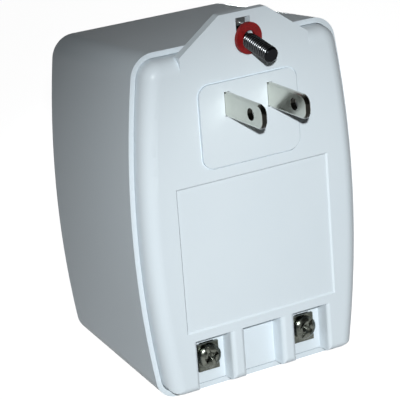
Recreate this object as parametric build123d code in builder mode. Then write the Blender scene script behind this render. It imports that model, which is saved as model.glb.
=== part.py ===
from build123d import *

import os
from math import cos, radians, sin, sqrt, tan

os.makedirs("parts", exist_ok=True)

# A plug-in mains transformer with screw terminals, in millimetres.
# X runs to the right as seen from the front, -Y points out of the front face, +Z is up.
# The origin lies on the front face of the cover, midway between the two blades.

# Case outline, as seen from the front at the rim
case_half_width = 33.5
side_mid_height = -31.0
side_bow_radius = 261.0
case_top = 15.7
case_bottom = -76.7
case_top_corner = 6.6
case_bottom_corner = 6.0

# Case depth, taper and walls
cover_proud = 5.0
case_depth = 48.2
side_taper = 2.0
top_taper = 3.7
bottom_taper = 4.0
case_wall = 3.0
back_wall = 2.8
back_edge_round = 1.8
rim_width = 1.4
seam_gap = 0.2
cover_seat_depth = 3.0

# Front cover
cover_round = 4.0
foot_round = 1.9
front_wall = 2.5
skirt_wall = 2.0
pad_width = 28.8
pad_top = 5.8
pad_bottom = -15.9
pad_height = 0.5
pad_corner = 3.0
pad_groove_width = 0.45
pad_groove_depth = 0.4
label_width = 45.6
label_top = -19.3
label_bottom = -58.6
label_depth = 0.4
label_slope = 0.45

# Mounting tab on top of the cover
tab_top = 22.8
tab_top_half_width = 6.9
tab_foot_half_width = 18.9
tab_thick = 2.45
tab_corner = 1.2
slot_width = 4.2
slot_top = 21.2
slot_gap = 0.2

# Mounting screw and the fibre washer that keeps it in its slot
screw_side = 0.3
screw_height = 15.9
screw_droop = 11.0
screw_radius = 2.08
screw_length = 15.8
screw_neck_radius = 1.4
screw_neck_length = 5.7
screw_point = 0.5
screw_head_radius = 2.4
screw_head_height = 2.6
screw_head_dome = 0.6
screw_drive_width = 1.0
screw_drive_depth = 1.2
head_gap = 0.15
notch_gap = 0.6
washer_radius = 4.05
washer_hole_radius = 2.0
washer_thick = 0.9
washer_gap = 0.05
washer_side = 0.65
washer_rise = 0.15
washer_turn = 7.5

# Two flat mains blades
blade_pitch = 12.7
blade_width = 6.35
blade_thick = 1.5
blade_length = 17.85
blade_hole_radius = 1.6
blade_hole_reach = 12.2
blade_tip_corner = 2.4
blade_tip_bevel = 0.4
blade_shoulder_width = 9.6
blade_shoulder_length = 1.6
blade_tail_width = 4.6
blade_tail_length = 5.0
blade_gap = 0.05

# Terminal bays, open at the front and at the bottom
bay_top = -61.0
bay_depth = 5.0
bay_inner_half_width = 5.75
rib_width = 4.0
bay_outer_half_width = 20.1
bay_wall = 2.0
leg_edge_round = 1.0
rib_edge_round = 1.2

# Terminals: a stamped plate with a tongue through the wall, and a clamping screw
terminal_x = 14.8
plate_width = 6.2
plate_top = -64.1
plate_bottom = -71.7
plate_thick = 0.8
tongue_width = 4.0
tongue_gap = 0.2
clamp_screw_height = -67.6
clamp_screw_radius = 1.75
clamp_screw_length = 7.0
clamp_head_radius = 3.2
clamp_head_height = 1.6
clamp_head_round = 0.6
clamp_head_lift = 0.1
clamp_drive_width = 1.1
clamp_drive_depth = 0.9
thread_gap = 0.1

# Laminated core: E pieces and I pieces, stacked along Y
core_length = 57.2
core_mid_height = -29.0
core_leg = 9.5
core_side_space = 6.7
core_gap = 0.3
post_radius = 3.0
post_inset = 4.5
case_rib_thick = 2.0
case_rib_half_height = 9.0
foot_rib_inset = 9.0

# Coil: a split bobbin with the primary in one half and the secondary in the other
bobbin_gap = 0.2
bobbin_wall = 1.0
flange_gap = 0.5
flange_lip = 0.55
coil_front_space = 2.6
coil_back_space = 1.7
winding_round = 1.5
tape_thick = 0.35

# Thermal fuse and leads
fuse_radius = 2.0
fuse_length = 8.0
lead_radius = 0.9
lead_bend = 1.6
lead_gap = 0.05

# Derived places
case_back = cover_proud + case_depth
cover_back = cover_proud + cover_seat_depth
cover_inset = rim_width + seam_gap
cover_top = case_top - cover_inset
cover_bottom = case_bottom + cover_inset
rib_outer_half_width = bay_inner_half_width + rib_width
bay_wall_back = bay_depth + bay_wall
slot_bottom = screw_height - screw_neck_radius / cos(radians(screw_droop)) - slot_gap
screw_axis = (0, -cos(radians(screw_droop)), -sin(radians(screw_droop)))
head_tilt_room = screw_head_radius * sin(radians(screw_droop))
head_setback = (tab_thick + head_gap + head_tilt_room) / cos(radians(screw_droop))
core_width = 2 * (case_half_width - case_wall - core_side_space)
core_window_length = core_width - 2 * core_leg
core_window_height = core_length / 2 - 2 * core_leg
flange_reach = core_window_height - bobbin_gap - flange_gap
winding_build = flange_reach - bobbin_wall - tape_thick - flange_lip
core_front = front_wall + coil_front_space + flange_reach + bobbin_gap
core_back = case_back - back_wall - coil_back_space - flange_reach - bobbin_gap
core_stack = core_back - core_front
lead_y = core_front - core_gap - lead_radius
tongue_length = core_front - core_gap - bay_depth
core_post_x = core_width / 2 - post_inset
core_post_z = core_length / 2 - post_inset
coil_mid_y = core_front + core_stack / 2
coil_top = core_mid_height + core_leg + bobbin_gap + bobbin_wall + winding_build + tape_thick
coil_bottom = 2 * core_mid_height - coil_top


def case_inset_at(depth):
    """How much narrower the case is at each side, at this distance behind the rim."""
    return side_taper * depth / case_depth


def case_floor_at(depth):
    """The height of the case's underside, at this distance behind the rim."""
    return case_bottom + bottom_taper * depth / case_depth


def barrel_outline(half_width, top, bottom, top_corner, bottom_corner):
    """Flat top and bottom, bowed sides and rounded corners, as seen from the front."""
    bow_centre = half_width - side_bow_radius
    top_half = bow_centre + sqrt(side_bow_radius**2 - (top - side_mid_height) ** 2)
    bottom_half = bow_centre + sqrt(side_bow_radius**2 - (bottom - side_mid_height) ** 2)
    with BuildSketch(mode=Mode.PRIVATE) as outline:
        with BuildLine():
            Line((-top_half, top), (top_half, top))
            ThreePointArc((top_half, top), (half_width, side_mid_height), (bottom_half, bottom))
            Line((bottom_half, bottom), (-bottom_half, bottom))
            ThreePointArc((-bottom_half, bottom), (-half_width, side_mid_height), (-top_half, top))
        make_face()
        fillet(outline.vertices().group_by(Axis.Y)[-1], top_corner)
        fillet(outline.vertices().group_by(Axis.Y)[0], bottom_corner)
    return outline.sketch


def case_section(depth, inset):
    """The case's outline at a distance behind the rim, drawn in from its outer skin."""
    share = depth / case_depth
    return barrel_outline(
        case_half_width - side_taper * share - inset,
        case_top - top_taper * share - inset,
        case_bottom + bottom_taper * share + inset,
        case_top_corner - inset,
        case_bottom_corner - inset,
    )


def cover_section(inset):
    """The cover's outline, drawn in from its outer skin."""
    return case_section(0, cover_inset + inset)


# Rear case: a deep tapered tub with a rebated rim, core posts and locating ribs
core_corners = [
    (-core_post_x, core_mid_height - core_post_z),
    (-core_post_x, core_mid_height + core_post_z),
    (core_post_x, core_mid_height - core_post_z),
    (core_post_x, core_mid_height + core_post_z),
]
cavity_depth = case_depth - back_wall
rib_places = (core_front + core_stack / 4, core_back - core_stack / 4)
foot_rib_x = core_width / 2 - foot_rib_inset
foot_rib_top = core_mid_height - core_length / 2 - core_gap
notch_floor = cover_top + seam_gap / 2
notch_back = (head_setback + screw_head_height) * cos(radians(screw_droop)) + screw_head_radius

with BuildPart() as rear_case:
    with BuildSketch(Plane.XZ.offset(-cover_proud)):
        add(case_section(0, 0))
    with BuildSketch(Plane.XZ.offset(-case_back)):
        add(case_section(case_depth, 0))
    loft()
    fillet(rear_case.faces().sort_by(Axis.Y)[-1].edges(), back_edge_round)
    with BuildSketch(Plane.XZ.offset(-cover_proud)):
        add(case_section(0, case_wall))
    with BuildSketch(Plane.XZ.offset(-cover_proud - cavity_depth)):
        add(case_section(cavity_depth, case_wall))
    loft(mode=Mode.SUBTRACT)
    with BuildSketch(Plane.XZ.offset(-cover_proud)):
        add(cover_section(-seam_gap))
    extrude(amount=-cover_seat_depth, mode=Mode.SUBTRACT)
    with BuildSketch(Plane.XZ.offset(-core_back)):
        with Locations(*core_corners):
            Circle(post_radius)
    extrude(amount=core_back - case_back + back_wall / 2)
    for rib_y in rib_places:
        rib_outer = case_half_width - case_inset_at(rib_y - cover_proud) - case_wall / 2
        rib_inner = core_width / 2 + core_gap
        with BuildSketch(Plane.XZ.offset(-rib_y)):
            with Locations(((rib_inner + rib_outer) / 2, core_mid_height)):
                Rectangle(rib_outer - rib_inner, 2 * case_rib_half_height)
            mirror(about=Plane.YZ)
        extrude(amount=case_rib_thick / 2, both=True)
    for side in (-1, 1):
        with BuildSketch(Plane.YZ.offset(side * foot_rib_x)):
            with BuildLine():
                foot_front = core_front
                foot_rear = core_back
                floor_front = case_floor_at(foot_front - cover_proud) + case_wall / 2
                floor_rear = case_floor_at(foot_rear - cover_proud) + case_wall / 2
                Polyline(
                    (foot_front, foot_rib_top),
                    (foot_rear, foot_rib_top),
                    (foot_rear, floor_rear),
                    (foot_front, floor_front),
                    close=True,
                )
            make_face()
        extrude(amount=case_rib_thick / 2, both=True)
    with BuildSketch(Plane.XY.offset(notch_floor)):
        with Locations((screw_side, (cover_proud + notch_back) / 2)):
            Rectangle(2 * (screw_head_radius + notch_gap), notch_back - cover_proud)
    extrude(amount=case_top - notch_floor, mode=Mode.SUBTRACT)
rear_case.part.label = "rear_case"
export_step(rear_case.part, "parts/rear_case.step")


# Front cover: a rounded tray with the blade pad, label recess, mounting tab and terminal bays
def bay_plan(left, right, left_round, right_round):
    """A bay seen from above: square at its back wall, with rounded edges at its mouth."""
    with BuildSketch(mode=Mode.PRIVATE) as plan:
        with BuildLine():
            Line((left, bay_depth), (right, bay_depth))
            Line((right, bay_depth), (right, right_round))
            RadiusArc((right, right_round), (right + right_round, 0), -right_round)
            Line((right + right_round, 0), (left - left_round, 0))
            RadiusArc((left - left_round, 0), (left, left_round), -left_round)
            Line((left, left_round), (left, bay_depth))
        make_face()
    return plan.sketch


terminal_places = [(-terminal_x, clamp_screw_height), (terminal_x, clamp_screw_height)]
tongue_places = [(-terminal_x, plate_top - plate_thick / 2), (terminal_x, plate_top - plate_thick / 2)]
blade_places = [(-blade_pitch / 2, 0), (blade_pitch / 2, 0)]
bay_mouth = [
    bay_plan(-bay_outer_half_width, -rib_outer_half_width, leg_edge_round, rib_edge_round),
    bay_plan(-bay_inner_half_width, bay_inner_half_width, rib_edge_round, rib_edge_round),
    bay_plan(rib_outer_half_width, bay_outer_half_width, rib_edge_round, leg_edge_round),
]
tab_root = cover_top - cover_round
bay_block_top = bay_top + bay_wall
bay_block_bottom = cover_bottom + skirt_wall / 2

# The front edge is rounder along the sides and the top than along the foot. So the cover is what
# two blocks share: one with the foot's rounding, and a taller one with the sides' rounding.
with BuildPart() as tall_block:
    with BuildSketch(Plane.XZ.offset(-cover_back)):
        add(
            barrel_outline(
                case_half_width - cover_inset,
                cover_top,
                cover_bottom - 2 * cover_round,
                case_top_corner - cover_inset,
                case_bottom_corner - cover_inset,
            )
        )
    extrude(amount=cover_back)
    fillet(tall_block.faces().sort_by(Axis.Y)[0].edges(), cover_round)

with BuildPart() as front_cover:
    with BuildSketch(Plane.XZ.offset(-cover_back)):
        add(cover_section(0))
    extrude(amount=cover_back)
    fillet(front_cover.faces().sort_by(Axis.Y)[0].edges(), foot_round)
    add(tall_block.part, mode=Mode.INTERSECT)
    with BuildSketch(Plane.XZ.offset(-cover_back)):
        add(cover_section(skirt_wall))
    extrude(amount=cover_back - front_wall, mode=Mode.SUBTRACT)
    with BuildSketch(Plane.XZ) as tab:
        with BuildLine():
            Polyline(
                (-tab_foot_half_width, tab_root),
                (-tab_foot_half_width, cover_top),
                (-tab_top_half_width, tab_top),
                (tab_top_half_width, tab_top),
                (tab_foot_half_width, cover_top),
                (tab_foot_half_width, tab_root),
                close=True,
            )
        make_face()
        fillet(tab.vertices().group_by(Axis.Y)[-1], tab_corner)
    extrude(amount=-tab_thick)
    with BuildSketch(Plane.XZ):
        with Locations((0, (slot_top + slot_bottom) / 2)):
            Rectangle(slot_width, slot_top - slot_bottom)
    extrude(amount=-tab_thick, mode=Mode.SUBTRACT)
    with BuildSketch(Plane.XZ):
        with Locations((0, (pad_top + pad_bottom) / 2)):
            RectangleRounded(
                pad_width + 2 * pad_groove_width,
                pad_top - pad_bottom + 2 * pad_groove_width,
                pad_corner + pad_groove_width,
            )
            RectangleRounded(pad_width, pad_top - pad_bottom, pad_corner, mode=Mode.SUBTRACT)
    extrude(amount=-pad_groove_depth, mode=Mode.SUBTRACT)
    with BuildSketch(Plane.XZ):
        with Locations((0, (pad_top + pad_bottom) / 2)):
            RectangleRounded(pad_width, pad_top - pad_bottom, pad_corner)
    extrude(amount=pad_height)
    with BuildSketch(Plane.XZ):
        with Locations((0, (label_top + label_bottom) / 2)):
            Rectangle(label_width, label_top - label_bottom)
    with BuildSketch(Plane.XZ.offset(-label_depth)):
        with Locations((0, (label_top + label_bottom) / 2)):
            Rectangle(label_width - 2 * label_slope, label_top - label_bottom - 2 * label_slope)
    loft(mode=Mode.SUBTRACT)
    with BuildSketch(Plane.XZ.offset(-front_wall / 2)):
        with Locations((0, (bay_block_top + bay_block_bottom) / 2)):
            Rectangle(2 * (bay_outer_half_width + bay_wall), bay_block_top - bay_block_bottom)
    extrude(amount=front_wall / 2 - bay_wall_back)
    for plan in bay_mouth:
        with BuildSketch(Plane.XY.offset(cover_bottom)):
            add(plan)
        extrude(amount=bay_top - cover_bottom, mode=Mode.SUBTRACT)
    with BuildSketch(Plane.XZ.offset(-bay_depth)):
        with Locations(*terminal_places):
            Circle(clamp_screw_radius + thread_gap)
        with Locations(*tongue_places):
            Rectangle(tongue_width + 2 * tongue_gap, plate_thick + 2 * tongue_gap)
    extrude(amount=-bay_wall, mode=Mode.SUBTRACT)
    with BuildSketch(Plane.XZ.offset(pad_height)):
        with Locations(*blade_places):
            Rectangle(blade_thick + 2 * blade_gap, blade_width + 2 * blade_gap)
    extrude(amount=-pad_height - front_wall, mode=Mode.SUBTRACT)
    with BuildSketch(Plane.XZ.offset(-front_wall / 2)):
        with Locations(*core_corners):
            Circle(post_radius)
    extrude(amount=front_wall / 2 - core_front)
front_cover.part.label = "front_cover"
export_step(front_cover.part, "parts/front_cover.step")

# Blades: flat tongues with a rounded tip, a detent hole and shoulders behind the front wall
blade_tip = -pad_height - blade_length
shoulder_back = front_wall + blade_shoulder_length
tail_end = shoulder_back + blade_tail_length
hole_y = -pad_height - blade_hole_reach

for name, (blade_x, blade_z) in zip(("blade_left", "blade_right"), blade_places):
    with BuildPart() as blade:
        with BuildSketch(Plane.YZ.offset(blade_x)) as profile:
            with Locations(((blade_tip + front_wall) / 2, blade_z)):
                Rectangle(front_wall - blade_tip, blade_width)
            fillet(profile.vertices().group_by(Axis.X)[0], blade_tip_corner)
            with Locations(((front_wall + shoulder_back) / 2, blade_z)):
                Rectangle(blade_shoulder_length, blade_shoulder_width)
            with Locations(((shoulder_back + tail_end) / 2, blade_z)):
                Rectangle(blade_tail_length, blade_tail_width)
            with Locations((hole_y, blade_z)):
                Circle(blade_hole_radius, mode=Mode.SUBTRACT)
        extrude(amount=blade_thick / 2, both=True)
        tip_edges = blade.faces().sort_by(Axis.Y)[0].edges().filter_by(Axis.Z)
        chamfer(tip_edges, blade_tip_bevel)
    blade.part.label = name
    export_step(blade.part, f"parts/{name}.step")

# Mounting screw: it hangs in its slot with the tip drooping and the head behind the tab
screw_plane = Plane(origin=(screw_side, 0, screw_height), x_dir=(1, 0, 0), z_dir=screw_axis)

with BuildPart() as mounting_screw:
    with BuildSketch(screw_plane.offset(screw_neck_length - head_setback)):
        Circle(screw_radius)
    extrude(amount=screw_length - screw_neck_length)
    chamfer(mounting_screw.edges().filter_by(GeomType.CIRCLE).sort_by(Axis.Y)[0], screw_point)
    with BuildSketch(screw_plane.offset(-head_setback)):
        Circle(screw_neck_radius)
    extrude(amount=screw_neck_length)
    with BuildSketch(screw_plane.offset(-head_setback)):
        Circle(screw_head_radius)
    extrude(amount=-screw_head_height)
    fillet(mounting_screw.edges().filter_by(GeomType.CIRCLE).sort_by(Axis.Y)[-1], screw_head_dome)
    with BuildSketch(screw_plane.offset(-head_setback - screw_head_height)):
        Rectangle(2 * screw_head_radius, screw_drive_width)
    extrude(amount=screw_drive_depth, mode=Mode.SUBTRACT)
mounting_screw.part.label = "mounting_screw"
export_step(mounting_screw.part, "parts/mounting_screw.step")

# Fibre washer: it hangs on the screw with one edge against the tab
washer_lean = radians(washer_turn)
washer_back_y = -washer_gap - washer_radius * sin(washer_lean)
washer_mid_y = washer_back_y - washer_thick / 2
washer_height = screw_height + washer_mid_y * tan(radians(screw_droop)) + washer_rise
washer_plane = Plane(
    origin=(washer_side, washer_back_y, washer_height),
    x_dir=(cos(washer_lean), sin(washer_lean), 0),
    z_dir=(sin(washer_lean), -cos(washer_lean), 0),
)

with BuildPart() as fibre_washer:
    with BuildSketch(washer_plane):
        Circle(washer_radius)
        Circle(washer_hole_radius, mode=Mode.SUBTRACT)
    extrude(amount=washer_thick)
fibre_washer.part.label = "fibre_washer"
export_step(fibre_washer.part, "parts/fibre_washer.step")

# Terminals: each plate lies on its bay's back wall, and its tongue goes through to the inside
head_back = bay_depth - plate_thick - clamp_head_lift
clamp_head_front = head_back - clamp_head_height

for side, (term_x, term_z) in zip(("left", "right"), terminal_places):
    with BuildPart() as terminal_plate:
        with BuildSketch(Plane.XZ.offset(-bay_depth)):
            with Locations((term_x, (plate_top + plate_bottom) / 2)):
                Rectangle(plate_width, plate_top - plate_bottom)
            with Locations((term_x, term_z)):
                Circle(clamp_screw_radius + thread_gap, mode=Mode.SUBTRACT)
        extrude(amount=plate_thick)
        with BuildSketch(Plane.XZ.offset(-bay_depth)):
            with Locations((term_x, plate_top - plate_thick / 2)):
                Rectangle(tongue_width, plate_thick)
        extrude(amount=-tongue_length)
    terminal_plate.part.label = f"terminal_plate_{side}"
    export_step(terminal_plate.part, f"parts/terminal_plate_{side}.step")

    with BuildPart() as terminal_screw:
        with BuildSketch(Plane.XZ.offset(-head_back)):
            with Locations((term_x, term_z)):
                Circle(clamp_head_radius)
        extrude(amount=clamp_head_height)
        fillet(terminal_screw.edges().filter_by(GeomType.CIRCLE).sort_by(Axis.Y)[0], clamp_head_round)
        with BuildSketch(Plane.XZ.offset(-clamp_head_front)):
            with Locations((term_x, term_z)):
                Rectangle(2 * clamp_head_radius, clamp_drive_width)
        extrude(amount=-clamp_drive_depth, mode=Mode.SUBTRACT)
        with BuildSketch(Plane.XZ.offset(-head_back)):
            with Locations((term_x, term_z)):
                Circle(clamp_screw_radius)
        extrude(amount=-clamp_screw_length)
    terminal_screw.part.label = f"terminal_screw_{side}"
    export_step(terminal_screw.part, f"parts/terminal_screw_{side}.step")

# Laminated core: the E stack's three legs point to the right and the I stack closes them
e_left = -core_width / 2
i_left = core_width / 2 - core_leg
window_mid_z = core_leg + core_window_height / 2

with BuildPart() as core_e_stack:
    with BuildSketch(Plane.XZ.offset(-core_front)):
        with Locations(((e_left + i_left) / 2, core_mid_height)):
            Rectangle(i_left - e_left, core_length)
        with Locations((0, core_mid_height + window_mid_z), (0, core_mid_height - window_mid_z)):
            Rectangle(core_window_length, core_window_height, mode=Mode.SUBTRACT)
    extrude(amount=-core_stack)
core_e_stack.part.label = "core_e_stack"
export_step(core_e_stack.part, "parts/core_e_stack.step")

with BuildPart() as core_i_stack:
    with BuildSketch(Plane.XZ.offset(-core_front)):
        with Locations((i_left + core_leg / 2, core_mid_height)):
            Rectangle(core_leg, core_length)
    extrude(amount=-core_stack)
core_i_stack.part.label = "core_i_stack"
export_step(core_i_stack.part, "parts/core_i_stack.step")

# Bobbin: a square tube on the centre leg, with a flange at each end and one between the windings
tube_inner_y = core_stack + 2 * bobbin_gap
tube_inner_z = 2 * core_leg + 2 * bobbin_gap
tube_outer_y = tube_inner_y + 2 * bobbin_wall
tube_outer_z = tube_inner_z + 2 * bobbin_wall
bobbin_half = core_window_length / 2 - bobbin_gap
flange_places = (-bobbin_half, -bobbin_wall / 2, bobbin_half - bobbin_wall)
winding_places = (-bobbin_half + bobbin_wall, bobbin_wall / 2)
winding_length = bobbin_half - 1.5 * bobbin_wall


def coil_ring(inner_build, outer_build):
    """A ring around the bobbin's tube, from one build height to another, seen along X."""
    with BuildSketch(mode=Mode.PRIVATE) as ring:
        with Locations((coil_mid_y, core_mid_height)):
            RectangleRounded(tube_outer_y + 2 * outer_build, tube_outer_z + 2 * outer_build, winding_round)
            if inner_build > 0:
                RectangleRounded(
                    tube_outer_y + 2 * inner_build,
                    tube_outer_z + 2 * inner_build,
                    winding_round,
                    mode=Mode.SUBTRACT,
                )
            else:
                Rectangle(tube_outer_y, tube_outer_z, mode=Mode.SUBTRACT)
    return ring.sketch


with BuildPart() as bobbin:
    with BuildSketch(Plane.YZ.offset(-bobbin_half)):
        with Locations((coil_mid_y, core_mid_height)):
            Rectangle(tube_outer_y, tube_outer_z)
    extrude(amount=2 * bobbin_half)
    for flange_x in flange_places:
        with BuildSketch(Plane.YZ.offset(flange_x)):
            add(coil_ring(0, flange_reach - bobbin_wall))
        extrude(amount=bobbin_wall)
    with BuildSketch(Plane.YZ.offset(-bobbin_half)):
        with Locations((coil_mid_y, core_mid_height)):
            Rectangle(tube_inner_y, tube_inner_z)
    extrude(amount=2 * bobbin_half, mode=Mode.SUBTRACT)
bobbin.part.label = "bobbin"
export_step(bobbin.part, "parts/bobbin.step")

# Windings and the tape around each
for name, winding_x in zip(("primary", "secondary"), winding_places):
    with BuildPart() as winding:
        with BuildSketch(Plane.YZ.offset(winding_x)):
            add(coil_ring(0, winding_build))
        extrude(amount=winding_length)
    winding.part.label = f"{name}_winding"
    export_step(winding.part, f"parts/{name}_winding.step")

    with BuildPart() as tape:
        with BuildSketch(Plane.YZ.offset(winding_x)):
            add(coil_ring(winding_build, winding_build + tape_thick))
        extrude(amount=winding_length)
    tape.part.label = f"{name}_tape"
    export_step(tape.part, f"parts/{name}_tape.step")

# Thermal fuse, lying across the bobbin's middle flange in front of the core
fuse_y = tail_end - lead_radius
fuse_z = coil_top + flange_lip + fuse_radius + lead_gap
fuse_right = fuse_length / 2

with BuildPart() as thermal_fuse:
    with BuildSketch(Plane.YZ):
        with Locations((fuse_y, fuse_z)):
            Circle(fuse_radius)
    extrude(amount=fuse_right, both=True)
thermal_fuse.part.label = "thermal_fuse"
export_step(thermal_fuse.part, "parts/thermal_fuse.step")

# Lead from the left blade straight down to the primary
lead_top = -blade_tail_width / 2 - lead_gap
lead_foot = coil_top + lead_gap

with BuildPart() as primary_lead_left:
    with BuildSketch(Plane.XY.offset(lead_foot)):
        with Locations((-blade_pitch / 2, fuse_y)):
            Circle(lead_radius)
    extrude(amount=lead_top - lead_foot)
primary_lead_left.part.label = "primary_lead_left"
export_step(primary_lead_left.part, "parts/primary_lead_left.step")

# Bent leads: the right blade to the fuse, and the terminals to the secondary
tongue_top = plate_top + lead_gap
tape_bottom = coil_bottom - lead_gap
run_z = core_mid_height - core_length / 2 - core_gap - lead_radius
second_left_x = winding_places[1] + winding_length / 4
second_right_x = winding_places[1] + 3 * winding_length / 4
lead_routes = {
    "primary_lead_right": [
        (blade_pitch / 2, fuse_y, lead_top),
        (blade_pitch / 2, fuse_y, fuse_z),
        (fuse_right + lead_gap, fuse_y, fuse_z),
    ],
    "secondary_lead_left": [
        (-terminal_x, lead_y, tongue_top),
        (-terminal_x, lead_y, run_z),
        (second_left_x, lead_y, run_z),
        (second_left_x, lead_y, tape_bottom),
    ],
    "secondary_lead_right": [
        (terminal_x, lead_y, tongue_top),
        (terminal_x, lead_y, run_z),
        (second_right_x, lead_y, run_z),
        (second_right_x, lead_y, tape_bottom),
    ],
}

for name, route in lead_routes.items():
    with BuildPart() as lead:
        with BuildLine() as path:
            FilletPolyline(*route, radius=lead_bend)
        with BuildSketch(Plane(origin=path.line @ 0, z_dir=path.line % 0)):
            Circle(lead_radius)
        sweep()
    lead.part.label = name
    export_step(lead.part, f"parts/{name}.step")
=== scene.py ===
# %% [markdown]
# # A plug-in transformer, dressed for its portrait
#
# The solids of this transformer come from a CAD model: a white case, a white cover, two blades, a screw with
# a red washer and two screw terminals on the outside, and a core with its windings inside. This lesson gives every
# solid a finish, models the threads and cross recesses that the solids leave out, and sets up the camera, the floor
# and the light.
#
# All lengths are in metres. X runs to the right as seen from the front, -Y points out of the front, +Z is up.

# %% Load the frame
import bpy
from math import cos, pi, radians, sin
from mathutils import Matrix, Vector


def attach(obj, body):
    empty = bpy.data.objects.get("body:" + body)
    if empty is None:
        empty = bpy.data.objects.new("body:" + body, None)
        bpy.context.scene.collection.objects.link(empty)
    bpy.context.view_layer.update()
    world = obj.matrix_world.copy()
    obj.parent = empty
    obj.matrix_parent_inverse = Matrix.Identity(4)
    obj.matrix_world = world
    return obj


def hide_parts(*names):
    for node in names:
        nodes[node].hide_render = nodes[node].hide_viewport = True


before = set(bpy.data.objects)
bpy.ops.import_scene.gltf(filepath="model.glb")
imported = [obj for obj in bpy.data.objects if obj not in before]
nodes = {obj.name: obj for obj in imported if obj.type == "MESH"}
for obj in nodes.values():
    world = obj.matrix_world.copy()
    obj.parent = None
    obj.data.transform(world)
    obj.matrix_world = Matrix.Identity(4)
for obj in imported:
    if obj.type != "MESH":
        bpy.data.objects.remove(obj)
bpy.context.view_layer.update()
MM = 0.001

# %% [markdown]
# ## The camera
#
# The photograph was taken from the front left, a little above. A camera could be placed by eye, but its place and
# lens were worked out from the blades, whose spacing is a standard, and from the straight edges of the case, so
# that the edges fall nearly where the photograph has them. A long lens keeps the edges nearly parallel. The small
# roll is in the photograph too: the case leans a little in its frame.

# %% Camera
CAMERA_PLACE = (-0.25301, -0.42765, 0.14017)
CAMERA_TURN = (radians(71.455), radians(4.2253), radians(-30.4001))
CAMERA_LENS, SENSOR_WIDTH = 183.66, 36.0
NEAREST, FARTHEST = 0.01, 20.0

bpy.ops.object.camera_add(location=CAMERA_PLACE, rotation=CAMERA_TURN)
camera = bpy.context.object
camera.name = "portrait_camera"
camera.data.lens = CAMERA_LENS
camera.data.sensor_width = SENSOR_WIDTH
camera.data.clip_start = NEAREST
camera.data.clip_end = FARTHEST
bpy.context.scene.camera = camera
print("camera at", CAMERA_PLACE, "with a lens of", CAMERA_LENS, "mm")

# %% [markdown]
# ## Starting a finish
#
# Each finish is a material with one Principled shader. In the shader editor it is made by hand: add a node, set
# it, and drag a wire to the next. The first helper starts a material with its shader and its Object coordinates,
# which are metres in this scene, so that a pattern keeps its real size on every piece. The second adds a node, the
# third wires a colour and a roughness to the shader, and the last puts a material on the solids that carry it.

# %% Start and give a finish
def start_finish(name):
    finish = bpy.data.materials.new(name)
    finish.use_nodes = True
    tree = finish.node_tree
    tree.nodes.clear()
    output = tree.nodes.new("ShaderNodeOutputMaterial")
    shader = tree.nodes.new("ShaderNodeBsdfPrincipled")
    coords = tree.nodes.new("ShaderNodeTexCoord")
    tree.links.new(shader.outputs["BSDF"], output.inputs["Surface"])
    return finish, tree, shader, coords.outputs["Object"]


def add_node(tree, kind, **settings):
    node = tree.nodes.new(kind)
    for key, value in settings.items():
        setattr(node, key, value)
    return node


def coat(tree, shader, colour, rough):
    tree.links.new(colour, shader.inputs["Base Color"])
    tree.links.new(rough, shader.inputs["Roughness"])


def give(finish, *names):
    for name in names:
        mesh = nodes[name].data
        mesh.materials.clear()
        mesh.materials.append(finish)
    print(finish.name, "on", ", ".join(names))


print("ready: start_finish, add_node, coat, give")

# %% [markdown]
# ## Noise, ranges, colours and bump
#
# No real surface is one flat colour. A photograph of a surface could be laid over the piece, but it needs the
# piece unwrapped, and it blurs when seen from near. Noise nodes need neither. A range turns the noise into a
# roughness or a share, a mix turns that share into a colour, and a bump turns it into fine relief.

# %% Noise and ranges
WHOLE = (0.0, 1.0)  # the range of a noise or a share


def grain(tree, place, scale, detail=3.0, rough=0.5, stretch=None, turn=None):
    """A noise with scale cells to the metre, from 0 to 1; stretch and turn give it a direction."""
    if stretch or turn:
        mapping = add_node(tree, "ShaderNodeMapping")
        mapping.inputs["Scale"].default_value = stretch or (1, 1, 1)
        mapping.inputs["Rotation"].default_value = turn or (0, 0, 0)
        tree.links.new(place, mapping.inputs["Vector"])
        place = mapping.outputs["Vector"]
    noise = add_node(tree, "ShaderNodeTexNoise")
    noise.inputs["Scale"].default_value = scale
    noise.inputs["Detail"].default_value = detail
    noise.inputs["Roughness"].default_value = rough
    tree.links.new(place, noise.inputs["Vector"])
    return noise.outputs["Fac"]


def spread(tree, value, old, new):
    """Maps the old range of numbers to the new one and clamps the ends."""
    node = add_node(tree, "ShaderNodeMapRange")
    for socket, number in zip(node.inputs[1:5], (*old, *new)):
        socket.default_value = number
    tree.links.new(value, node.inputs["Value"])
    return node.outputs["Result"]


print("ready: grain, spread")

# %% Colours, sums and bump
def tint(tree, share, first, second):
    """A colour between two others, each written out or taken from a node."""
    node = add_node(tree, "ShaderNodeMix", data_type="RGBA")
    sockets = [s for s in node.inputs if s.type == "RGBA"]
    for socket, colour in zip(sockets, (first, second)):
        if isinstance(colour, tuple):
            socket.default_value = (*colour, 1)
        else:
            tree.links.new(colour, socket)
    tree.links.new(share, node.inputs["Factor"])
    return [s for s in node.outputs if s.type == "RGBA"][0]


def calculate(tree, kind, first, second=0.0):
    """One step of arithmetic; each side is a number or comes from a node."""
    node = add_node(tree, "ShaderNodeMath", operation=kind)
    for socket, value in zip(node.inputs, (first, second)):
        if isinstance(value, (int, float)):
            socket.default_value = value
        else:
            tree.links.new(value, socket)
    return node.outputs["Value"]


def dent(tree, shader, height, depth, strength):
    """Bump from a height, with its depth in metres."""
    bump = add_node(tree, "ShaderNodeBump")
    bump.inputs["Strength"].default_value = strength
    bump.inputs["Distance"].default_value = depth
    tree.links.new(height, bump.inputs["Height"])
    tree.links.new(bump.outputs["Normal"], shader.inputs["Normal"])


print("ready: tint, calculate, dent")

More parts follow.
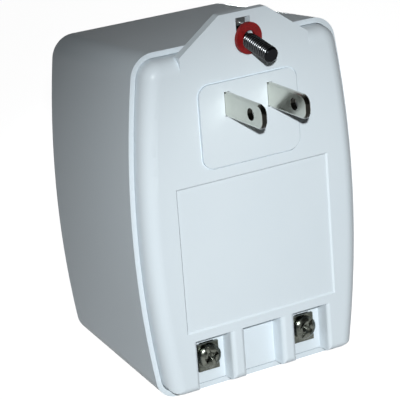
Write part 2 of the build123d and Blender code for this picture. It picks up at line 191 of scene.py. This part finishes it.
# %% [markdown]
# ## White moulded plastic
#
# The case and the cover are moulded in cool white ABS. A mould leaves a fine, even grain with a satin sheen, and
# the thick walls cool unevenly, which shows as faint cloudy waves. One noise of about half a millimetre makes the
# grain, and a slow one shifts the colour and the roughness a little. The case is duller than the cover, so it gets
# less gloss. The sunken panel is spark-eroded in the tool, so inside it the grain is coarser and duller. It could
# be a second material on chosen faces. Here its limits are numbers in the cover's own coordinates, which leaves
# the cover's mesh as it is.

# %% Where the panel is
PANEL_HALF_WIDTH, PANEL_BACK = 22.35 * MM, 0.5 * MM
PANEL_TOP, PANEL_FOOT = -19.75 * MM, -58.15 * MM


def split_axes(tree, place):
    axes = add_node(tree, "ShaderNodeSeparateXYZ")
    tree.links.new(place, axes.inputs["Vector"])
    return axes.outputs["X"], axes.outputs["Y"], axes.outputs["Z"]


def on_panel(tree, place):
    """1 on the sunken panel and 0 elsewhere."""
    across, deep, up = split_axes(tree, place)
    inside = calculate(tree, "LESS_THAN", calculate(tree, "ABSOLUTE", across), PANEL_HALF_WIDTH)
    limits = ((up, "LESS_THAN", PANEL_TOP), (up, "GREATER_THAN", PANEL_FOOT), (deep, "LESS_THAN", PANEL_BACK))
    for value, kind, limit in limits:
        inside = calculate(tree, "MULTIPLY", inside, calculate(tree, kind, value, limit))
    return inside


print("panel:", round(2 * PANEL_HALF_WIDTH / MM, 1), "by", round((PANEL_TOP - PANEL_FOOT) / MM, 1), "mm")

# %% White plastic
COOL_WHITES = (0.735, 0.80, 0.85), (0.755, 0.815, 0.86)
PLASTIC_IOR, CASE_GLOSS, COVER_GLOSS = 1.5, 0.05, 0.16
MOULD_GRAIN, ERODED_GRAIN, SLOW_CLOUD = 2200.0, 1500.0, 38.0
MOULD_SHARE, ERODED_DULL = 0.35, 0.12


def white_plastic(name, gloss, with_panel):
    finish, tree, shader, place = start_finish(name)
    shader.inputs["IOR"].default_value = PLASTIC_IOR
    shader.inputs["Specular IOR Level"].default_value = gloss
    cloud = grain(tree, place, SLOW_CLOUD, detail=2.0)
    rough = spread(tree, cloud, (0.35, 0.65), (0.33, 0.40))
    height = calculate(tree, "MULTIPLY", grain(tree, place, MOULD_GRAIN), MOULD_SHARE)
    if with_panel:
        panel = on_panel(tree, place)
        eroded = grain(tree, place, ERODED_GRAIN, detail=4.0, rough=0.65)
        height = calculate(tree, "ADD", height, calculate(tree, "MULTIPLY", eroded, panel))
        rough = calculate(tree, "ADD", rough, calculate(tree, "MULTIPLY", panel, ERODED_DULL))
    colour = tint(tree, spread(tree, cloud, (0.3, 0.7), WHOLE), *COOL_WHITES)
    coat(tree, shader, colour, rough)
    dent(tree, shader, height, depth=0.03 * MM, strength=0.8)
    return finish


give(white_plastic("white_case", CASE_GLOSS, with_panel=False), "rear_case")
give(white_plastic("white_cover", COVER_GLOSS, with_panel=True), "front_cover")

# %% [markdown]
# ## Nickel-plated blades
#
# The blades are stamped from brass strip and plated with nickel, which is a little warm and greenish, and which
# mirrors what stands near it with soft edges. The strip was rolled, so the fine lines run along the blade: a noise
# squeezed across and stretched along Y. The bevelled tip is painted near black as a painted dark reflection, and
# the punched hole is painted dark inside as painted shade. Both could be painted by hand. Here they are told apart
# from the bright flat faces by their place: the tip by its reach along Y, the hole by its distance from the hole's
# axis, and neither on the faces, which lie half a blade's thickness from its middle.

# %% Where the blades are painted dark: a painted dark reflection on the tip, painted shade in the hole
BLADE_OFFSET, BLADE_TIP = 6.35 * MM, -18.35 * MM
BLADE_FACE = 1.5 * MM / 2
HOLE_Y, HOLE_RADIUS = -12.7 * MM, 1.6 * MM
# Where the painted dark reflection on each tip is full, where it ends, and how far its edge wanders.
TIP_BLACK, TIP_BRIGHT, TIP_WANDER = 0.9 * MM, 2.4 * MM, 0.2 * MM


def from_axis(tree, place, centre, turn, keep):
    """Distance from an axis: moves and turns the coordinates onto it, and drops the one that runs along it."""
    onto_axis = add_node(tree, "ShaderNodeMapping", vector_type="TEXTURE")
    onto_axis.inputs["Location"].default_value = centre
    onto_axis.inputs["Rotation"].default_value = turn
    tree.links.new(place, onto_axis.inputs["Vector"])
    flat = add_node(tree, "ShaderNodeVectorMath", operation="MULTIPLY")
    flat.inputs[1].default_value = keep
    tree.links.new(onto_axis.outputs["Vector"], flat.inputs[0])
    length = add_node(tree, "ShaderNodeVectorMath", operation="LENGTH")
    tree.links.new(flat.outputs["Vector"], length.inputs[0])
    return length.outputs["Value"]


# Painted shade: 1 where a dark reflection is painted on the tip and shade is painted in the hole.
def painted_dark_tip_and_hole(tree, place, bloom):
    """1 on the tip and in the hole of a blade, and 0 on its faces."""
    across, along, _ = split_axes(tree, place)
    from_middle = calculate(tree, "SUBTRACT", calculate(tree, "ABSOLUTE", across), BLADE_OFFSET)
    depth = calculate(tree, "ABSOLUTE", from_middle)
    off_face = spread(tree, depth, (BLADE_FACE - 0.04 * MM, BLADE_FACE - 0.01 * MM), (1.0, 0.0))
    wander = spread(tree, bloom, WHOLE, (-TIP_WANDER, TIP_WANDER))
    along = calculate(tree, "ADD", along, wander)
    tip = spread(tree, along, (BLADE_TIP + TIP_BLACK, BLADE_TIP + TIP_BRIGHT), (1.0, 0.0))
    reach = from_axis(tree, place, centre=(0, HOLE_Y, 0), turn=(0, 0, 0), keep=(0, 1, 1))
    hole = spread(tree, reach, (HOLE_RADIUS + 0.05 * MM, HOLE_RADIUS + 0.15 * MM), (1.0, 0.0))
    return calculate(tree, "MULTIPLY", calculate(tree, "MAXIMUM", tip, hole), off_face)


print("blackened: the last", round(TIP_BRIGHT / MM, 1), "mm of each blade, and its hole")

# %% Nickel
NICKEL_TONES = (0.56, 0.57, 0.51), (0.66, 0.66, 0.60)
# The near black of the painted dark reflection on the tips and the painted shade in the holes.
PAINTED_DARK_TONE = (0.025, 0.025, 0.022)
ROLLED_LINES, NICKEL_BLOOM = (900, 60, 5200), 420.0


def nickel_plate():
    finish, tree, shader, place = start_finish("nickel_plate")
    shader.inputs["Metallic"].default_value = 1.0
    lines = grain(tree, place, 1.0, stretch=ROLLED_LINES)
    bloom = grain(tree, place, NICKEL_BLOOM)
    plain_nickel = tint(tree, bloom, *NICKEL_TONES)
    # Paints the dark reflection on the tip and the shade in the hole over the plain nickel.
    colour = tint(tree, painted_dark_tip_and_hole(tree, place, bloom), plain_nickel, PAINTED_DARK_TONE)
    coat(tree, shader, colour, spread(tree, lines, (0.3, 0.7), (0.17, 0.25)))
    dent(tree, shader, lines, depth=0.001 * MM, strength=0.4)
    return finish


give(nickel_plate(), "blade_left", "blade_right")

# %% [markdown]
# ## Red fibre washer
#
# The washer is punched from vulcanised fibre: cotton paper pressed into a hard red sheet. Short fibres mottle
# its face, and the punched edge shows the layers. Each fibre could be a small curve, but they are finer than a
# pixel here, so two stretched noises, turned different ways, stand for them.

# %% Fibre
FIBRE_REDS = (0.14, 0.004, 0.005), (0.33, 0.011, 0.012)
ONE_WAY, ONE_TURN = (900, 3000, 3800), (0, 0.5, 0)
OTHER_WAY, OTHER_TURN = (3600, 3000, 1000), (0, 0.3, 0)


def red_fibre():
    finish, tree, shader, place = start_finish("red_fibre")
    shader.inputs["Specular IOR Level"].default_value = 0.3
    one = grain(tree, place, 1.0, detail=4.0, stretch=ONE_WAY, turn=ONE_TURN)
    other = grain(tree, place, 1.0, detail=4.0, stretch=OTHER_WAY, turn=OTHER_TURN)
    fibres = calculate(tree, "MULTIPLY", calculate(tree, "ADD", one, other), 0.5)
    colour = tint(tree, spread(tree, fibres, (0.35, 0.65), WHOLE), *FIBRE_REDS)
    coat(tree, shader, colour, spread(tree, fibres, (0.3, 0.7), (0.42, 0.62)))
    dent(tree, shader, fibres, depth=0.03 * MM, strength=0.6)
    return finish


give(red_fibre(), "fibre_washer")

# %% [markdown]
# ## Darkened zinc plate
#
# The terminal plates and their screws are steel with a thin zinc plate that has darkened with age. It tarnishes in
# soft blotches, so one noise moves both the colour and the roughness. The fine scratches are only thousandths of a
# millimetre deep. They could be cut into the mesh, but a bump from a stretched noise does as well.

# %% Zinc
ZINC_TONES = (0.05, 0.056, 0.048), (0.17, 0.18, 0.155)
TARNISH, SCRATCHES = 520.0, (5200, 900, 700)


def zinc_plate():
    finish, tree, shader, place = start_finish("zinc_plate")
    shader.inputs["Metallic"].default_value = 1.0
    blotch = grain(tree, place, TARNISH, detail=4.0, rough=0.6)
    scratch = grain(tree, place, 1.0, detail=2.0, stretch=SCRATCHES)
    colour = tint(tree, spread(tree, blotch, (0.35, 0.65), WHOLE), *ZINC_TONES)
    coat(tree, shader, colour, spread(tree, blotch, (0.3, 0.7), (0.16, 0.34)))
    dent(tree, shader, scratch, depth=0.004 * MM, strength=0.5)
    return finish


zinc = zinc_plate()
give(zinc, "terminal_plate_left", "terminal_plate_right")

# %% [markdown]
# ## The core and the windings
#
# The core is a stack of thin steel sheets, and each winding is many turns of enamelled copper wire. They are sealed
# in and can't be seen, but the part is also used with its case opened up, so they are finished too. Every sheet and
# every turn could be modelled, at a cost of many thousands of faces. A wave texture draws their edges instead.

# %% Core and windings
STEEL_TONES = (0.09, 0.09, 0.10), (0.27, 0.28, 0.30)
COPPER_TONES = (0.28, 0.09, 0.03), (0.66, 0.28, 0.12)
WAVE_LENGTH = 0.314  # from band to band in a wave texture whose scale is 1


def banded(name, axis, width, tones, rough, depth):
    """Fine parallel lines across one axis: sheet edges in the core, turns of wire in a winding."""
    finish, tree, shader, place = start_finish(name)
    shader.inputs["Metallic"].default_value = 0.9
    wave = add_node(tree, "ShaderNodeTexWave", bands_direction=axis)
    wave.inputs["Scale"].default_value = WAVE_LENGTH / width
    wave.inputs["Distortion"].default_value = 0.4
    wave.inputs["Detail"].default_value = 2.0
    tree.links.new(place, wave.inputs["Vector"])
    lines = wave.outputs["Fac"]
    coat(tree, shader, tint(tree, lines, *tones), spread(tree, lines, WHOLE, (rough + 0.1, rough)))
    dent(tree, shader, lines, depth, strength=0.8)
    return finish


give(banded("sheet_steel", "Y", width=0.5 * MM, tones=STEEL_TONES, rough=0.35, depth=0.05 * MM),
     "core_e_stack", "core_i_stack")
give(banded("copper_turns", "X", width=0.4 * MM, tones=COPPER_TONES, rough=0.25, depth=0.1 * MM),
     "primary_winding", "secondary_winding")

# %% [markdown]
# ## The bobbin, the tape, the fuse and the leads
#
# These are smooth things: a nylon moulding, polyester tape, an aluminium can and vinyl wire covers. Each could have
# a finish of its own, but they differ only in colour, sheen and the size of a slow mottle, so one function with
# those four values serves for all.

# %% Smooth inner finishes
NYLON_TONES = (0.70, 0.66, 0.52), (0.78, 0.75, 0.62)
TAPE_TONES = (0.70, 0.48, 0.05), (0.80, 0.60, 0.10)
CAN_TONES = (0.55, 0.55, 0.56), (0.68, 0.68, 0.68)
VINYL_TONES = (0.020, 0.020, 0.021), (0.035, 0.035, 0.036)


def mottled(name, size, tones, metal, rough):
    finish, tree, shader, place = start_finish(name)
    shader.inputs["Metallic"].default_value = metal
    mottle = grain(tree, place, 1.0 / size)
    coat(tree, shader, tint(tree, mottle, *tones), spread(tree, mottle, (0.3, 0.7), (rough, rough + 0.12)))
    dent(tree, shader, mottle, depth=0.01 * MM, strength=0.3)
    return finish


give(mottled("natural_nylon", 3 * MM, NYLON_TONES, metal=0.0, rough=0.42), "bobbin")
give(mottled("yellow_tape", 5 * MM, TAPE_TONES, metal=0.0, rough=0.22), "primary_tape", "secondary_tape")
give(mottled("fuse_can", 1 * MM, CAN_TONES, metal=1.0, rough=0.25), "thermal_fuse")
give(mottled("black_vinyl", 2 * MM, VINYL_TONES, metal=0.0, rough=0.35),
     "primary_lead_left", "primary_lead_right", "secondary_lead_left", "secondary_lead_right")

# %% [markdown]
# ## Selecting, modifying and cutting
#
# The screws are modelled here, because a thread is too fine for the CAD solids. An operator works on all that is
# selected, and the loaded solids are selected too, so the first helper clears the selection. The others choose one
# piece, apply a modifier to it, and cut it with another shape, which is then thrown away. Cuts could be made face
# by face, but the Boolean modifier keeps the piece closed.

# %% Selecting, modifying and cutting
def clear_selection():
    if bpy.context.object and bpy.context.object.mode != "OBJECT":
        bpy.ops.object.mode_set(mode="OBJECT")
    bpy.ops.object.select_all(action="DESELECT")


def make_active(piece):
    clear_selection()
    piece.select_set(True)
    bpy.context.view_layer.objects.active = piece


def add_modifier(piece, kind, **settings):
    make_active(piece)
    modifier = piece.modifiers.new(kind.lower(), kind)
    for key, value in settings.items():
        setattr(modifier, key, value)
    bpy.ops.object.modifier_apply(modifier=modifier.name)


def cut(piece, tool, operation="DIFFERENCE"):
    add_modifier(piece, "BOOLEAN", object=tool, operation=operation, solver="EXACT")
    bpy.data.objects.remove(tool)


print("ready: clear_selection, make_active, add_modifier, cut")

# %% [markdown]
# ## Round and square stock
#
# A lathe starts from a round bar, and so do these screws. A cylinder is added at its size and height on the Z axis,
# and its rim is bevelled in edit mode, with the rim's edges picked by their height. A profile could be spun instead,
# but a bar with a bevelled rim is easier to change. The block cuts slots.

# %% Round and square stock
SAME_HEIGHT = 1e-6


def cylinder(radius, low, high, sides=64):
    clear_selection()
    bpy.ops.mesh.primitive_cylinder_add(vertices=sides, radius=radius, depth=high - low,
                                        location=(0, 0, (low + high) / 2))
    piece = bpy.context.object
    bpy.ops.object.transform_apply(location=True, rotation=True, scale=True)
    return piece


def block(width, length, low, high):
    clear_selection()
    bpy.ops.mesh.primitive_cube_add(size=1, location=(0, 0, (low + high) / 2))
    piece = bpy.context.object
    piece.scale = (width, length, high - low)
    bpy.ops.object.transform_apply(location=True, rotation=True, scale=True)
    return piece


def bevel_rim(piece, height, size, steps):
    """Bevels the edges of a piece that lie at one height on its axis."""
    make_active(piece)
    bpy.ops.object.mode_set(mode="EDIT")
    bpy.ops.mesh.select_all(action="DESELECT")
    bpy.ops.object.mode_set(mode="OBJECT")
    for edge in piece.data.edges:
        ends = [piece.data.vertices[i].co.z for i in edge.vertices]
        edge.select = all(abs(z - height) < SAME_HEIGHT for z in ends)
    bpy.ops.object.mode_set(mode="EDIT")
    bpy.ops.mesh.select_mode(type="EDGE")
    bpy.ops.mesh.bevel(offset=size, segments=steps, affect="EDGES", clamp_overlap=True)
    bpy.ops.object.mode_set(mode="OBJECT")


print("ready: cylinder, block, bevel_rim")

# %% [markdown]
# ## A threaded rod
#
# The thread is a V groove that climbs one pitch in every turn. A stack of rings would look like one from afar, but
# rings don't climb. Here a short zigzag line, one pitch long, is wound around the axis by the Screw modifier. The
# line starts as a plane merged into a single vertex, and six extrusions draw its crest, its flanks and its root,
# with a small facet where each crest is worn. Those facets catch the light as a row of glints. The wound ribbon is
# then trimmed flat at both ends, and a bevelled blank cuts the chamfered end.

# %% Thread line
CREST_RUN, WORN_RUN, FLANK_RUN, ROOT_RUN = 0.10, 0.07, 0.30, 0.16  # shares of one pitch
WORN_DEPTH = 0.12  # share of the thread's depth


def thread_line(crest, root, pitch, start):
    clear_selection()
    bpy.ops.mesh.primitive_plane_add(size=MM, location=(crest, 0, start))
    line = bpy.context.object
    bpy.ops.object.transform_apply(location=True)
    bpy.ops.object.mode_set(mode="EDIT")
    bpy.ops.mesh.select_all(action="SELECT")
    bpy.ops.mesh.merge(type="CENTER")
    worn = WORN_DEPTH * (crest - root)
    flank = root - crest + worn
    steps = ((0, CREST_RUN), (-worn, WORN_RUN), (flank, FLANK_RUN), (0, ROOT_RUN), (-flank, FLANK_RUN),
             (worn, WORN_RUN))
    for outward, share in steps:
        bpy.ops.mesh.extrude_region_move(TRANSFORM_OT_translate={"value": (outward, 0, pitch * share)})
    bpy.ops.object.mode_set(mode="OBJECT")
    return line


print("thread line: crest and root take", CREST_RUN, "and", ROOT_RUN, "of a pitch")

# %% Threaded rod
RUN_IN, SPARE_TURNS, TURN_STEPS = 2.37, 5, 48
WELD_GAP, TRIM_GAP = 1e-7, 1e-8
BLANK_ROOM = 1.02


def trim(rod, low, high):
    """Closes the seam of a wound thread and cuts it flat at both ends."""
    make_active(rod)
    bpy.ops.object.mode_set(mode="EDIT")
    bpy.ops.mesh.select_all(action="SELECT")
    bpy.ops.mesh.remove_doubles(threshold=WELD_GAP)
    for height, upper in ((low, False), (high, True)):
        bpy.ops.mesh.select_all(action="SELECT")
        bpy.ops.mesh.bisect(plane_co=(0, 0, height), plane_no=(0, 0, 1), use_fill=True,
                            clear_inner=not upper, clear_outer=upper, threshold=TRIM_GAP)
    bpy.ops.mesh.select_all(action="SELECT")
    bpy.ops.mesh.normals_make_consistent(inside=False)
    bpy.ops.object.mode_set(mode="OBJECT")


def threaded_rod(crest, root, pitch, low, high, chamfer):
    rod = thread_line(crest, root, pitch, low - RUN_IN * pitch)
    turns = int((high - low) / pitch) + SPARE_TURNS
    add_modifier(rod, "SCREW", axis="Z", angle=2 * pi, screw_offset=pitch, iterations=turns, steps=TURN_STEPS,
                 render_steps=TURN_STEPS, use_merge_vertices=True, merge_threshold=WELD_GAP)
    trim(rod, low, high)
    blank = cylinder(crest * BLANK_ROOM, low - MM, high)
    bevel_rim(blank, high, chamfer, steps=1)
    cut(rod, blank, "INTERSECT")
    print("threaded rod:", round((high - low) / MM, 1), "mm long,", len(rod.data.polygons), "faces")
    return rod


print("ready: trim, threaded_rod")

# %% [markdown]
# ## The mounting screw
#
# It is a black-oxide machine screw with a slotted fillister head. It hangs in the tab's slot with its tip
# drooping, since the head rests in a notch of the case. It could be modelled where it hangs, but along a tilted
# axis every size is harder to read. So it is modelled upright, with the underside of its head at zero, and is then
# turned and moved into place, and its place is applied to its mesh.

# %% Mounting screw
SCREW_CREST, SCREW_ROOT, PITCH = 2.08 * MM, 1.6 * MM, 0.794 * MM
SCREW_LENGTH, SCREW_CHAMFER = 15.8 * MM, 0.5 * MM
NECK_RADIUS, NECK_LENGTH, OVERLAP = 1.4 * MM, 5.5 * MM, 0.2 * MM
HEAD_RADIUS, HEAD_HEIGHT, HEAD_DOME = 2.4 * MM, 2.6 * MM, 0.6 * MM
DRIVE_WIDTH, DRIVE_DEPTH, PAST_HEAD = 1.0 * MM, 1.2 * MM, 8 * MM

screw = threaded_rod(SCREW_CREST, SCREW_ROOT, PITCH, NECK_LENGTH, SCREW_LENGTH, SCREW_CHAMFER)
screw.name = "mounting_screw_threaded"
neck = cylinder(NECK_RADIUS, -OVERLAP, NECK_LENGTH + OVERLAP, sides=48)
head = cylinder(HEAD_RADIUS, -HEAD_HEIGHT, 0.0)
bevel_rim(head, -HEAD_HEIGHT, HEAD_DOME, steps=5)
cut(head, block(DRIVE_WIDTH, PAST_HEAD, -HEAD_HEIGHT - MM, -HEAD_HEIGHT + DRIVE_DEPTH))
cut(screw, neck, "UNION")
cut(screw, head, "UNION")
print("screw faces:", len(screw.data.polygons))

# %% Mounting screw in its slot
SCREW_DROOP = radians(11)
SCREW_SIDE, SCREW_HEIGHT = 0.3 * MM, 15.9 * MM
TAB_THICK, HEAD_GAP = 2.45 * MM, 0.15 * MM
HEAD_SETBACK = (TAB_THICK + HEAD_GAP + HEAD_RADIUS * sin(SCREW_DROOP)) / cos(SCREW_DROOP)
SCREW_TURN = (pi / 2 + SCREW_DROOP, 0, 0)


def smooth(piece, angle):
    make_active(piece)
    bpy.ops.object.shade_smooth_by_angle(angle=radians(angle))


screw.rotation_euler = SCREW_TURN
screw.location = (SCREW_SIDE, HEAD_SETBACK * cos(SCREW_DROOP), SCREW_HEIGHT + HEAD_SETBACK * sin(SCREW_DROOP))
make_active(screw)
bpy.ops.object.transform_apply(location=True, rotation=True, scale=True)
smooth(screw, angle=28)
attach(screw, "screw")
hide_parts("mounting_screw")
print("head set back by", round(HEAD_SETBACK / MM, 2), "mm behind the tab's front")

# %% [markdown]
# ## Black oxide
#
# Black oxide is a thin dark skin on steel, kept oily. Handling polishes the crests of the thread first. The wear
# could be painted, but the crests are simply what lies farthest from the screw's axis, so the finish turns from
# black to worn grey steel with that distance. The same helper that found the blades' holes measures it.

# %% Black oxide
OXIDE_BLACK, WORN_STEEL = (0.014, 0.015, 0.017), (0.14, 0.143, 0.147)
WEAR_STARTS, WEAR_FULL, WEAR_WANDER = 1.96 * MM, 2.06 * MM, 0.04 * MM
OXIDE_SKIN = 1400.0


def black_oxide():
    finish, tree, shader, place = start_finish("black_oxide")
    shader.inputs["Metallic"].default_value = 1.0
    reach = from_axis(tree, place, centre=(SCREW_SIDE, 0, SCREW_HEIGHT), turn=SCREW_TURN, keep=(1, 1, 0))
    skin = grain(tree, place, OXIDE_SKIN)
    reach = calculate(tree, "ADD", reach, spread(tree, skin, WHOLE, (-WEAR_WANDER, WEAR_WANDER)))
    crest = spread(tree, reach, (WEAR_STARTS, WEAR_FULL), WHOLE)
    colour = tint(tree, crest, OXIDE_BLACK, WORN_STEEL)
    coat(tree, shader, colour, spread(tree, skin, (0.3, 0.7), (0.18, 0.30)))
    dent(tree, shader, skin, depth=0.004 * MM, strength=0.4)
    return finish


screw.data.materials.clear()
screw.data.materials.append(black_oxide())
print(screw.data.materials[0].name, "on", screw.name)

# %% [markdown]
# ## The terminal screws
#
# Each wire is clamped under a binding head: a flat disc with a conical rim, and a deep cross recess that comes to
# a point in its middle. One arm of the cross runs on as a slot, so that a flat blade turns it too. The disc is a
# cylinder, the rim is a cone with its point cut off, and two blocks and a four-sided cone cut the recess. The head
# could be made twice. It is modelled once, upright, and copied to both terminals, each copy with its own mesh and
# its own turn, since no two screws stop at the same angle.

# %% Terminal screw
CLAMP_RADIUS, CLAMP_HEIGHT = 3.2 * MM, 1.6 * MM
DISC_HEIGHT, RIM_RADIUS = 0.9 * MM, 2.15 * MM
ARM_WIDTH, ARM_LENGTH, ARM_DEPTH, SLOT_DEPTH = 1.0 * MM, 4.0 * MM, 1.1 * MM, 0.6 * MM
POINT_RADIUS, MOUTH_RADIUS, POINT_DEPTH, MOUTH_RISE = 0.4 * MM, 1.9 * MM, 1.4 * MM, 0.1 * MM
SHANK_CREST, SHANK_ROOT, SHANK_LENGTH, SHANK_CHAMFER = 1.75 * MM, 1.35 * MM, 7.0 * MM, 0.3 * MM
EDGE_ROUND = 0.08 * MM


def cone(foot, top, low, high, sides):
    clear_selection()
    bpy.ops.mesh.primitive_cone_add(vertices=sides, radius1=foot, radius2=top, depth=high - low,
                                    location=(0, 0, (low + high) / 2))
    piece = bpy.context.object
    bpy.ops.object.transform_apply(location=True)
    return piece


clamp = cylinder(CLAMP_RADIUS, 0.0, DISC_HEIGHT)
cut(clamp, cone(CLAMP_RADIUS, RIM_RADIUS, DISC_HEIGHT, CLAMP_HEIGHT, sides=64), "UNION")
cut(clamp, block(ARM_WIDTH, PAST_HEAD, CLAMP_HEIGHT - SLOT_DEPTH, CLAMP_HEIGHT + MM))
cut(clamp, block(ARM_LENGTH, ARM_WIDTH, CLAMP_HEIGHT - ARM_DEPTH, CLAMP_HEIGHT + MM))
cut(clamp, cone(POINT_RADIUS, MOUTH_RADIUS, CLAMP_HEIGHT - POINT_DEPTH, CLAMP_HEIGHT + MOUTH_RISE, sides=4))
shank = threaded_rod(SHANK_CREST, SHANK_ROOT, PITCH, -SHANK_LENGTH, OVERLAP, SHANK_CHAMFER)
cut(clamp, shank, "UNION")
add_modifier(clamp, "BEVEL", width=EDGE_ROUND, segments=2, limit_method="ANGLE", angle_limit=radians(50))
print("terminal screw faces:", len(clamp.data.polygons))

# %% Terminal screws in their bays
CLAMP_X, CLAMP_BACK, CLAMP_Z = 14.8 * MM, 4.1 * MM, -67.6 * MM

for side, x, turn in (("left", -CLAMP_X, radians(24)), ("right", CLAMP_X, radians(-38))):
    piece = clamp.copy()
    piece.data = clamp.data.copy()
    piece.name = "clamp_screw_" + side
    bpy.context.scene.collection.objects.link(piece)
    make_active(piece)
    piece.rotation_euler = (0, 0, turn)
    bpy.ops.object.transform_apply(rotation=True)
    piece.rotation_euler = (pi / 2, 0, 0)
    piece.location = (x, CLAMP_BACK, CLAMP_Z)
    bpy.ops.object.transform_apply(location=True, rotation=True, scale=True)
    smooth(piece, angle=35)
    piece.data.materials.clear()
    piece.data.materials.append(zinc)
    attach(piece, side + "_clamp")
    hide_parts("terminal_screw_" + side)
    print(piece.name, "at", [round(v / MM, 1) for v in (x, CLAMP_BACK, CLAMP_Z)], "mm")
bpy.data.objects.remove(clamp)

# %% [markdown]
# ## The floor
#
# The case stands on its sloping foot. It could be tipped onto a level floor, but the pieces stay where the CAD
# model has them, so the floor is tipped instead and lies along that foot. It is a large plane, a hair below the
# foot, so that the two surfaces never fight over the same pixel.

# %% Floor
FOOT_FRONT, FOOT_BACK = (5.0 * MM, -76.7 * MM), (53.2 * MM, -72.7 * MM)
FLOOR_SIZE, FLOOR_GAP = 6.0, 0.05 * MM
slope = (FOOT_BACK[1] - FOOT_FRONT[1]) / (FOOT_BACK[0] - FOOT_FRONT[0])  # so small that it is the angle too

clear_selection()
bpy.ops.mesh.primitive_plane_add(size=FLOOR_SIZE, location=(0, FOOT_FRONT[0], FOOT_FRONT[1] - FLOOR_GAP))
floor = bpy.context.object
floor.name = "studio_floor"
floor.rotation_euler = (slope, 0, 0)
bpy.ops.object.transform_apply(location=True, rotation=True)
print("floor slope:", round(slope, 4))

# %% [markdown]
# ## A white background
#
# The photograph's background is plain white. More light on the floor could make it white, but that light would
# also bounce up onto the case. So the floor glows for rays from the camera or a mirror, and for no others, and it
# puts no light on the case. The world beyond the floor's edge is white to the camera too. Mirrors see it dim, as
# the far walls of a room are when the only light is a lamp close by, and that gives the metal its dark tones.

# %% Floor finish
FLOOR_GREYS = (0.29, 0.29, 0.29), (0.32, 0.32, 0.32)
NEARLY_WHITE, FLOOR_SPECK = 0.96, 90.0


def seen_directly(tree, mirrored):
    """1 for rays from the camera or glass, a chosen share for a mirror, and 0 for light that bounces."""
    path = add_node(tree, "ShaderNodeLightPath")
    glossy = calculate(tree, "MULTIPLY", path.outputs["Is Glossy Ray"], mirrored)
    seen = calculate(tree, "MAXIMUM", path.outputs["Is Camera Ray"], glossy)
    return calculate(tree, "MAXIMUM", seen, path.outputs["Is Transmission Ray"])


def pale_floor():
    finish, tree, shader, place = start_finish("pale_floor")
    speck = grain(tree, place, FLOOR_SPECK)
    tree.links.new(tint(tree, speck, *FLOOR_GREYS), shader.inputs["Base Color"])
    shader.inputs["Roughness"].default_value = 0.9
    shader.inputs["Specular IOR Level"].default_value = 0.0
    shader.inputs["Emission Color"].default_value = (1, 1, 1, 1)
    glow = spread(tree, seen_directly(tree, mirrored=1.0), WHOLE, (0.0, NEARLY_WHITE))
    tree.links.new(glow, shader.inputs["Emission Strength"])
    return finish


floor.data.materials.append(pale_floor())
print(floor.data.materials[0].name, "on", floor.name)

# %% World
ROOM_LIGHT, ROOM_MIRRORED = 0.02, 0.1

world = bpy.data.worlds.new("white_room")
bpy.context.scene.world = world
world.use_nodes = True
tree = world.node_tree
tree.nodes.clear()
sky = tree.nodes.new("ShaderNodeBackground")
out = tree.nodes.new("ShaderNodeOutputWorld")
sky.inputs["Color"].default_value = (1, 1, 1, 1)
brightness = spread(tree, seen_directly(tree, ROOM_MIRRORED), WHOLE, (ROOM_LIGHT, NEARLY_WHITE))
tree.links.new(brightness, sky.inputs["Strength"])
tree.links.new(sky.outputs["Background"], out.inputs["Surface"])
print("world:", world.name)

# %% [markdown]
# ## The light
#
# The photograph was lit from close to the camera. A wide soft panel would be the usual choice for a portrait, but
# it would lose the short dark shadows of the blades. So a small spot stands there, with a soft edge and aimed at
# the lower right, which also gives the slow fade over the left side. A weak panel high behind gives the metal
# something to mirror. A low spot lights the back and the right side, which the photograph doesn't show: it stays
# below the line of the top face, so that the top keeps its shade.

# %% Lamps
LIGHT_TINT = (0.95, 0.99, 1.0)


def lamp(kind, name, place, aim, power):
    clear_selection()
    bpy.ops.object.light_add(type=kind, location=place)
    light = bpy.context.object
    light.name = name
    light.rotation_euler = (Vector(place) - Vector(aim)).to_track_quat("Z", "Y").to_euler()
    light.data.energy = power
    light.data.color = LIGHT_TINT
    print(name, "at", place)
    return light.data


def spot(name, place, aim, power, cone_angle, edge, radius):
    light = lamp("SPOT", name, place, aim, power)
    light.spot_size = radians(cone_angle)
    light.spot_blend = edge
    light.shadow_soft_size = radius


spot("flash", place=(-0.246, -0.440, 0.176), aim=(24 * MM, 0, -60 * MM), power=13.0,
     cone_angle=25, edge=1.0, radius=6 * MM)
back_panel = lamp("AREA", "back_panel", place=(0.39, 0.53, 0.46), aim=(0, 10 * MM, -25 * MM), power=0.2)
back_panel.size = 0.5
spot("low_back_lamp", place=(0.18, 0.30, -0.028), aim=(10 * MM, 30 * MM, -30 * MM), power=3.2,
     cone_angle=60, edge=0.6, radius=14 * MM)

# %% [markdown]
#
# The finishes and the new screws must not change the size of the transformer. The box around all pieces could
# be compared by eye in the viewport. Last, the view transform is set to Standard.

bpy.context.scene.view_settings.view_transform = "Standard"
